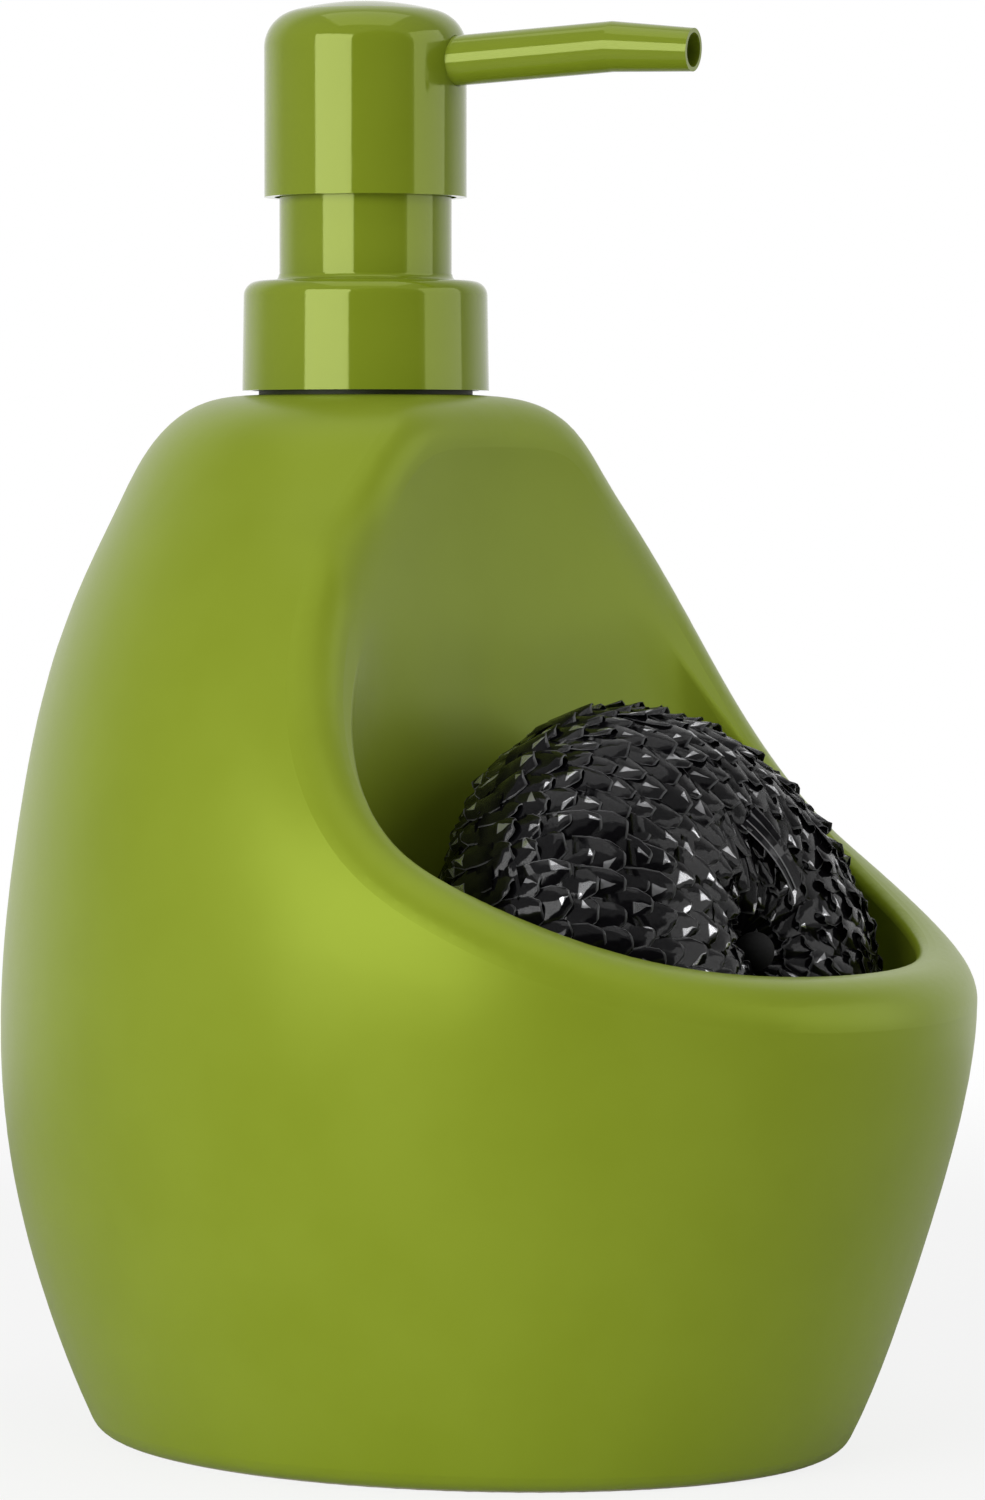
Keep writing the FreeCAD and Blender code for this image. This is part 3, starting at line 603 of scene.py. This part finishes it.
# one loop of flat ribbon, seen from above: its root at v = 0, its round free end at v = 1
def loopMesh(name, chance):
    twist = chance.uniform(-1, 1) * loops["twist"]
    kink = chance.uniform(-1, 1) * loops["kink"]
    shape = bmesh.new()
    edgeLayer = shape.verts.layers.float.new("ribbonEdge")
    acrossLayer = shape.verts.layers.float.new("ribbonAcross")
    alongLayer = shape.verts.layers.float.new("ribbonAlong")
    lines = []
    for v in loops["rowShares"]:
        bow = loops["bow"] * (loops["rootBowShare"] + (1 - loops["rootBowShare"]) * v)
        line = []
        for u in loops["columnShares"]:
            rise = bow * (1 - u * u) + loops["lift"] * v
            rise += twist * u * v + kink * max(0.0, v - loops["kinkStart"])
            vert = shape.verts.new((loopHalfWidth(v) * u, loops["length"] * (v - 0.5), rise))
            vert[edgeLayer] = 1.0 if abs(u) == 1.0 or v == 1.0 else 0.0
            vert[acrossLayer] = u
            vert[alongLayer] = v
            line.append(vert)
        lines.append(line)
    for below, above in zip(lines, lines[1:]):
        for corners in zip(below, below[1:], above[1:], above):
            shape.faces.new(corners)
    bmesh.ops.solidify(shape, geom=shape.faces[:], thickness=loops["thickness"])
    for face in shape.faces:
        face.smooth = True
    mesh = bpy.data.meshes.new(name)
    shape.to_mesh(mesh)
    shape.free()
    return bpy.data.objects.new(name, mesh)


def loopKinds():
    chance = random.Random(loops["seed"])
    kinds = bpy.data.collections.new("loopKinds")
    for number in range(loops["kinds"]):
        kinds.objects.link(loopMesh("loopKind%d" % number, chance))
    return kinds


# a point on the puff's axis for each row, which keeps the row's radius and the profile's heading
def rowStack(g):
    points = g.beads(g.given("Geometry"), g.given("Row Pitch")).outputs
    spot = g.separate(g.position())
    heading = g.separate(points["Tangent"])
    sockets = {"Geometry": points["Points"]}
    kept = g.add("GeometryNodeCaptureAttribute", {"domain": "POINT"}, sockets, out=None)
    captured = {}
    values = {"radius": spot["X"], "outward": heading["X"], "upward": heading["Z"]}
    for label, value in values.items():
        kept.capture_items.new("FLOAT", label)
        g.tree.links.new(value, kept.inputs[label])
        captured[label] = kept.outputs[label]
    sockets = {"Geometry": kept.outputs["Geometry"], "Position": g.combine(Z=spot["Z"])}
    return g.add("GeometryNodeSetPosition", {}, sockets), captured


# the loops' seats, in a ring for each row
def rowSeats(g, stack, radius, narrow):
    hoops = g.add("GeometryNodeInstanceOnPoints", {}, {
        "Points": stack,
        "Instance": g.circle(puff["hoopSides"], 1.0),
        "Rotation": g.chance("FLOAT_VECTOR", Min=(0, 0, 0), Max=(0, 0, math.tau)),
        "Scale": radius,
    })
    rings = g.add("GeometryNodeRealizeInstances", {}, [hoops])
    return g.beads(rings, g.times(g.given("Loop Step"), narrow)).outputs["Points"]


# each loop faces out of the puff and points towards the nearer dimple, more or less
def loopTurn(g, captured):
    outward, upward = captured["outward"], captured["upward"]
    radial = g.vector("NORMALIZE", g.vector("MULTIPLY", g.position(), (1, 1, 0)))
    facing = g.vector("ADD", g.scaled(radial, g.times(upward, -1.0)), g.combine(Z=outward))
    along = g.vector("ADD", g.scaled(radial, outward), g.combine(Z=upward))
    side = g.add("ShaderNodeMath", {"operation": "SIGN"}, [g.separate(g.position())["Z"]])
    turn = g.add(
        "FunctionNodeAxesToRotation", {"primary_axis": "Z", "secondary_axis": "Y"},
        {"Primary Axis": facing, "Secondary Axis": g.scaled(along, g.times(side, -1.0))},
    )
    tip, sway = g.given("Tip"), g.given("Sway")
    ends = [
        g.combine(X=g.times(tip, tipShare), Y=g.times(sway, way * loops["rollShare"]), Z=g.times(sway, way))
        for way, tipShare in zip((-1.0, 1.0), loops["tipShares"])
    ]
    angles = g.chance("FLOAT_VECTOR", Min=ends[0], Max=ends[1])
    wobble = g.add("FunctionNodeEulerToRotation", {}, [angles])
    return g.add("FunctionNodeRotateRotation", {"rotation_space": "LOCAL"}, [turn, wobble])


def rowsTree():
    g = Growth("knittedRows", {
        "Loops": "Collection",
        "Row Pitch": "Float",
        "Loop Step": "Float",
        "Pleat Width": "Float",
        "Tip": "Float",
        "Sway": "Float",
        "Seed": "Int",
        "Material": "Material",
    })
    stack, captured = rowStack(g)
    inner, outer = puff["pleatRadii"]
    narrow = g.add("ShaderNodeMapRange", {}, {
        "Value": captured["radius"],
        "From Min": inner,
        "From Max": outer,
        "To Min": g.given("Pleat Width"),
        "To Max": 1.0,
    })
    sizes = g.chance("FLOAT_VECTOR", Min=loops["smallest"], Max=loops["largest"])
    kinds = {"Collection": g.given("Loops"), "Separate Children": True}
    knit = g.add("GeometryNodeInstanceOnPoints", {}, {
        "Points": rowSeats(g, stack, captured["radius"], narrow),
        "Instance": g.add("GeometryNodeCollectionInfo", {}, kinds),
        "Pick Instance": True,
        "Instance Index": g.chance("INT", Max=loops["kinds"] - 1),
        "Rotation": loopTurn(g, captured),
        "Scale": g.vector("MULTIPLY", sizes, g.combine(X=narrow, Y=1.0, Z=1.0)),
    })
    toned = g.add(
        "GeometryNodeStoreNamedAttribute", {"data_type": "FLOAT", "domain": "INSTANCE"},
        {"Geometry": knit, "Name": "loopTone", "Value": g.chance("FLOAT")},
    )
    return g.finish(toned)


def knittedPuff():
    return bakeTree(smoothProfile(), rowsTree(), {
        "Loops": loopKinds(),
        "Row Pitch": loops["rowPitch"],
        "Loop Step": loops["step"],
        "Pleat Width": puff["pleatWidthShare"],
        "Tip": loops["tip"],
        "Sway": loops["sway"],
        "Seed": loops["seed"],
        "Material": finishes["black_mesh"],
    })


# the dark inside of the puff, which closes the gaps between the loops
core = {"shrinkShare": 0.95, "centreShare": 0.75, "steps": 48, "mergeDistance": 1e-6}


def puffCore():
    corners = puffCorners(core["shrinkShare"])
    ends = [(0.0, up * core["centreShare"]) for out, up in (corners[0], corners[-1])]
    shape = bmesh.new()
    line = [shape.verts.new((out, 0, up)) for out, up in ends[:1] + corners + ends[1:]]
    edges = [shape.edges.new(pair) for pair in zip(line, line[1:])]
    around = {"axis": (0, 0, 1), "cent": (0, 0, 0), "angle": math.tau, "steps": core["steps"]}
    bmesh.ops.spin(shape, geom=line + edges, **around)
    bmesh.ops.remove_doubles(shape, verts=shape.verts, dist=core["mergeDistance"])
    bmesh.ops.recalc_face_normals(shape, faces=shape.faces)
    mesh = bpy.data.meshes.new("puffCore")
    shape.to_mesh(mesh)
    shape.free()
    return mesh


# the ribbon's ends, folded flat together and tucked in beside the dimple
tails = {
    "count": 5,
    "start": (0.0068, 0.0066),      # on the puff's front face
    "end": (0.0006, 0.0168),
    "width": 0.0017,
    "spread": 0.0006,
    "startSpreadShare": 0.5,        # of the spread; it grows by one to the end
    "height": 0.0186,
    "arch": 0.0016,
    "archStart": 0.15,              # of half a wave
    "archRun": 0.7,
    "fold": 0.0005,
    "rows": 8,
    "columnShares": (-1.0, -0.8, 0.0, 0.8, 1.0),
}


def tuckedTails(shape):
    edgeLayer = shape.verts.layers.float["ribbonEdge"]
    start, end = Vector(tails["start"]), Vector(tails["end"])
    along = end - start
    across = Vector((-along.y, along.x)).normalized()
    faces = []
    for number in range(tails["count"]):
        shift = (number - (tails["count"] - 1) / 2) * tails["spread"]
        layer = number % 2 * tails["fold"]
        lines = []
        for row in range(tails["rows"]):
            v = row / (tails["rows"] - 1)
            arch = math.sin(math.pi * (tails["archStart"] + v * tails["archRun"]))
            rise = tails["height"] + tails["arch"] * arch + layer
            middle = start + along * v + across * shift * (tails["startSpreadShare"] + v)
            line = []
            for u in tails["columnShares"]:
                spot = middle + across * (u * tails["width"] / 2)
                vert = shape.verts.new((spot.x, spot.y, rise + tails["fold"] * (1 - abs(u))))
                vert[edgeLayer] = 1.0 if abs(u) == 1.0 else 0.0
                line.append(vert)
            lines.append(line)
        for below, above in zip(lines, lines[1:]):
            for corners in zip(below, above, above[1:], below[1:]):
                faces.append(shape.faces.new(corners))
    bmesh.ops.recalc_face_normals(shape, faces=faces)
    bmesh.ops.solidify(shape, geom=faces, thickness=loops["thickness"])


def buildScrubber():
    shape = bmesh.new()
    shape.from_mesh(knittedPuff())
    shape.from_mesh(puffCore())
    tuckedTails(shape)
    low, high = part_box("scrubber")
    middle = (low + high) / 2
    lean = math.pi / 2 - puff["tilt"]
    cosine, sine = math.cos(lean), math.sin(lean)
    for vert in shape.verts:
        x, y, z = vert.co
        vert.co = middle + Vector((x, y * cosine - z * sine, y * sine + z * cosine + puff["rise"]))
    mesh = bpy.data.meshes.new("scrubberPuff")
    shape.to_mesh(mesh)
    shape.free()
    piece = bpy.data.objects.new("scrubberPuff", mesh)
    bpy.context.scene.collection.objects.link(piece)
    dress(piece, finishes["black_mesh"])
    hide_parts("scrubber")
    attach(piece, "scrubber_puff")
    print("scrubber:", len(mesh.polygons), "faces")


buildScrubber()


# Return spring: wound again here as a coil of steel wire, which rides with the pump unit

spring = {"wireRadius": 0.00045, "turns": 9, "pointsPerTurn": 32, "wireSides": 10, "joint": "pump_press"}


def coilTree():
    g = Growth("woundSpring", {
        "Turns": "Float",
        "Coil Radius": "Float",
        "Height": "Float",
        "Wire Radius": "Float",
        "Material": "Material",
    })
    line = g.add("GeometryNodeCurveSpiral", {}, {
        "Resolution": spring["pointsPerTurn"],
        "Rotations": g.given("Turns"),
        "Start Radius": g.given("Coil Radius"),
        "End Radius": g.given("Coil Radius"),
        "Height": g.given("Height"),
        "Reverse": True,
    })
    section = g.circle(spring["wireSides"], g.given("Wire Radius"))
    sockets = {"Curve": line, "Profile Curve": section, "Fill Caps": True}
    return g.finish(g.add("GeometryNodeCurveToMesh", {}, sockets))


def buildSpring():
    low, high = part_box("return_spring")
    wire = spring["wireRadius"]
    height = high.z - low.z
    mesh = bakeTree(bpy.data.meshes.new("springHolder"), coilTree(), {
        "Turns": float(spring["turns"]),
        "Coil Radius": (high.x - low.x) / 2 - wire,
        "Height": height - wire * 2,
        "Wire Radius": wire,
        "Material": finishes["spring_steel"],
    })
    for vert in mesh.vertices:
        vert.co.z += low.z + wire
    mesh.shade_smooth()
    piece = bpy.data.objects.new("springCoil", mesh)
    bpy.context.scene.collection.objects.link(piece)
    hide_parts("return_spring")
    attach(piece, "pump_unit")
    rows = [row for row in frame["record"]["behaviour"]["joints"] if row["name"] == spring["joint"]]
    travel = max(abs(end) for end in rows[0]["range_m"])
    1 - travel / height
    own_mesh(piece)
    print("spring:", len(mesh.polygons), "faces")


buildSpring()


# Studio

studio = {
    "floorRadius": 0.9,
    "floorSides": 96,
    "floorFade": (0.22, 0.55),      # where the floor starts and ends to run out into white
    "floorColour": shade(0.86),
    "floorGlow": 0.84,
    "ambient": 0.19,
    # the room as gloss sees it: white behind the object, dimmer at its sides, dark at one end
    "whiteEnd": {"azimuth": 126, "spread": (78, 50)},
    "sideLevel": 0.45,
    "darkEnd": {"azimuth": -35, "spread": (42, 32)},
    "darkLevel": 0.04,
}
softboxes = {
    "key": {"azimuth": -90, "elevation": 12, "distance": 0.95, "size": (0.74, 0.62), "power": 6.3},
    "fill": {"azimuth": 26, "elevation": 16, "distance": 1.10, "size": (0.90, 0.80), "power": 3.1},
    "top": {"azimuth": -54, "elevation": 82, "distance": 1.00, "size": (0.90, 0.90), "power": 2.4},
}
photoView = {
    "azimuth": -54,
    "elevation": 2.7,
    "distance": 0.835,
    "aside": 0.0173,        # of the middle of the view, to the right of the pump axis
    "height": 0.0929,
    "lens": 146.4,
}


def direction(azimuth, elevation):
    a, e = math.radians(azimuth), math.radians(elevation)
    return Vector((math.sin(a) * math.cos(e), -math.cos(a) * math.cos(e), math.sin(e)))


# sets a lamp or camera off from its target, as its values say, and turns it to look there
def aim(thing, target, values):
    away = direction(values["azimuth"], values["elevation"])
    thing.location = target + away * values["distance"]
    thing.rotation_euler = (-away).to_track_quat("-Z", "Y").to_euler()
    bpy.context.scene.collection.objects.link(thing)


def buildSoftboxes():
    for name, values in softboxes.items():
        lamp = bpy.data.lights.new(name, "AREA")
        lamp.shape = "RECTANGLE"
        lamp.size, lamp.size_y = values["size"]
        lamp.energy = values["power"]
        holder = bpy.data.objects.new(name, lamp)
        holder.visible_camera = False
        aim(holder, Vector((0, 0, photoView["height"])), values)


def floorFinish():
    material, f = newFinish("paleFloor")
    reach = f.node("ShaderNodeVectorMath", {"operation": "LENGTH"}, [f.place()], out="Value")
    fade = f.ease(reach, *studio["floorFade"])
    paint = f.node("ShaderNodeBsdfDiffuse", {}, {"Color": studio["floorColour"]})
    glow = f.node("ShaderNodeEmission", {}, {"Color": shade(1)})
    lit = f.node("ShaderNodeMixShader", {}, [f.ray("Camera") * studio["floorGlow"], paint, glow])
    clear = f.node("ShaderNodeBsdfTransparent")
    f.output(f.node("ShaderNodeMixShader", {}, [fade, lit, clear]))
    return material


def buildFloor():
    shape = bmesh.new()
    size = {"segments": studio["floorSides"], "radius": studio["floorRadius"]}
    bmesh.ops.create_circle(shape, cap_ends=True, **size)
    mesh = bpy.data.meshes.new("floor")
    shape.to_mesh(mesh)
    shape.free()
    floor = bpy.data.objects.new("floor", mesh)
    bpy.context.scene.collection.objects.link(floor)
    dress(floor, floorFinish())


# 1 towards one end of the room, 0 away from it
def roomEnd(f, values):
    towards = f.node("ShaderNodeTexCoord", out="Generated")
    end = tuple(direction(values["azimuth"], 0))
    facing = f.node("ShaderNodeVectorMath", {"operation": "DOT_PRODUCT"}, [towards, end], out="Value")
    return f.ease(facing, *[math.cos(math.radians(angle)) for angle in values["spread"]])


def buildWorld():
    world = bpy.data.worlds.new("studio")
    world.use_nodes = True
    bpy.context.scene.world = world
    f = Finish(world.node_tree)
    glossy = f.ray("Glossy")
    bright = roomEnd(f, studio["whiteEnd"]).between(studio["sideLevel"], 1)
    room = bright * roomEnd(f, studio["darkEnd"]).between(1, studio["darkLevel"])
    seen = f.ray("Camera").larger(f.ray("Transmission"))
    level = seen + (1 - seen) * (glossy * room + (1 - glossy) * studio["ambient"])
    light = f.node("ShaderNodeBackground", {}, {"Color": shade(1), "Strength": level})
    f.output(light, "ShaderNodeOutputWorld")


def buildCamera():
    lens = bpy.data.cameras.new("photoView")
    lens.lens = photoView["lens"]
    camera = bpy.data.objects.new("photoView", lens)
    a = math.radians(photoView["azimuth"])
    right = Vector((math.cos(a), math.sin(a), 0))
    aim(camera, right * photoView["aside"] + Vector((0, 0, photoView["height"])), photoView)
    bpy.context.scene.camera = camera


buildSoftboxes()
buildFloor()
buildWorld()
buildCamera()
bpy.context.scene.view_settings.view_transform = "Standard"
print("studio and camera ready")
